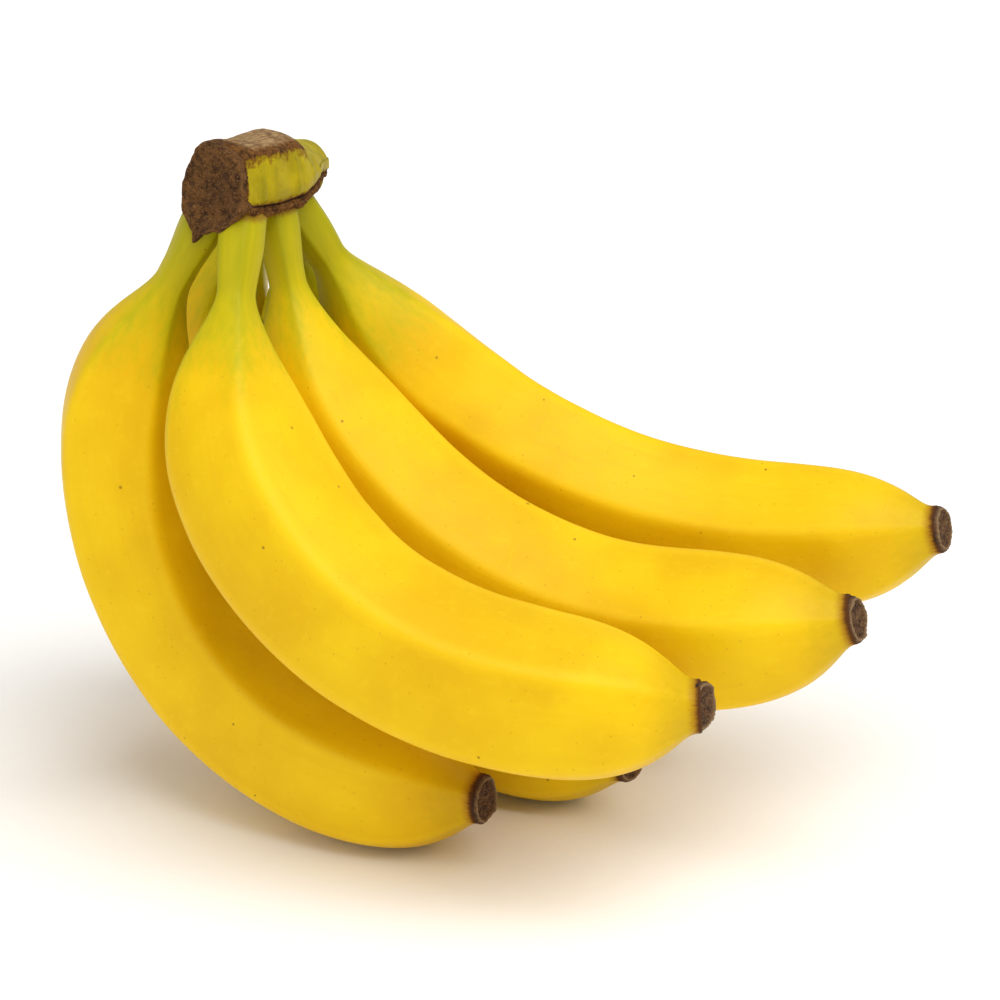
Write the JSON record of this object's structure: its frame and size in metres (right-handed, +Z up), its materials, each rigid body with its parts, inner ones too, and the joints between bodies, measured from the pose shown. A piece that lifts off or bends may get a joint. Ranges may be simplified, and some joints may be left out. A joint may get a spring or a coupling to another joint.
{
  "type": "bunch of bananas",
  "caption": "Hand of ripe bananas: curved fingers in two rows growing from one cut crown, each ending in its dry blossom end.",
  "frame": {"origin": "middle of the bounding box, at the height of the floor the bunch rests on", "axes": "+X towards the tips of the front fingers, +Y towards the back of the bunch, +Z up"},
  "size_m": [0.2222, 0.175, 0.1694],
  "materials": {
    "peel": "satin",
    "crown": "rough, dry",
    "blossom_end": "rough, dry"
  },
  "bodies": {
    "root": {"crown": "crown", "banana_a": "peel", "banana_b": "peel", "banana_c": "peel", "banana_d": "peel", "banana_e": "peel", "banana_f": "peel", "banana_g": "peel", "blossom_end_a": "blossom_end", "blossom_end_b": "blossom_end", "blossom_end_c": "blossom_end", "blossom_end_d": "blossom_end", "blossom_end_e": "blossom_end", "blossom_end_f": "blossom_end", "blossom_end_g": "blossom_end"}
  },
  "joints": []
}
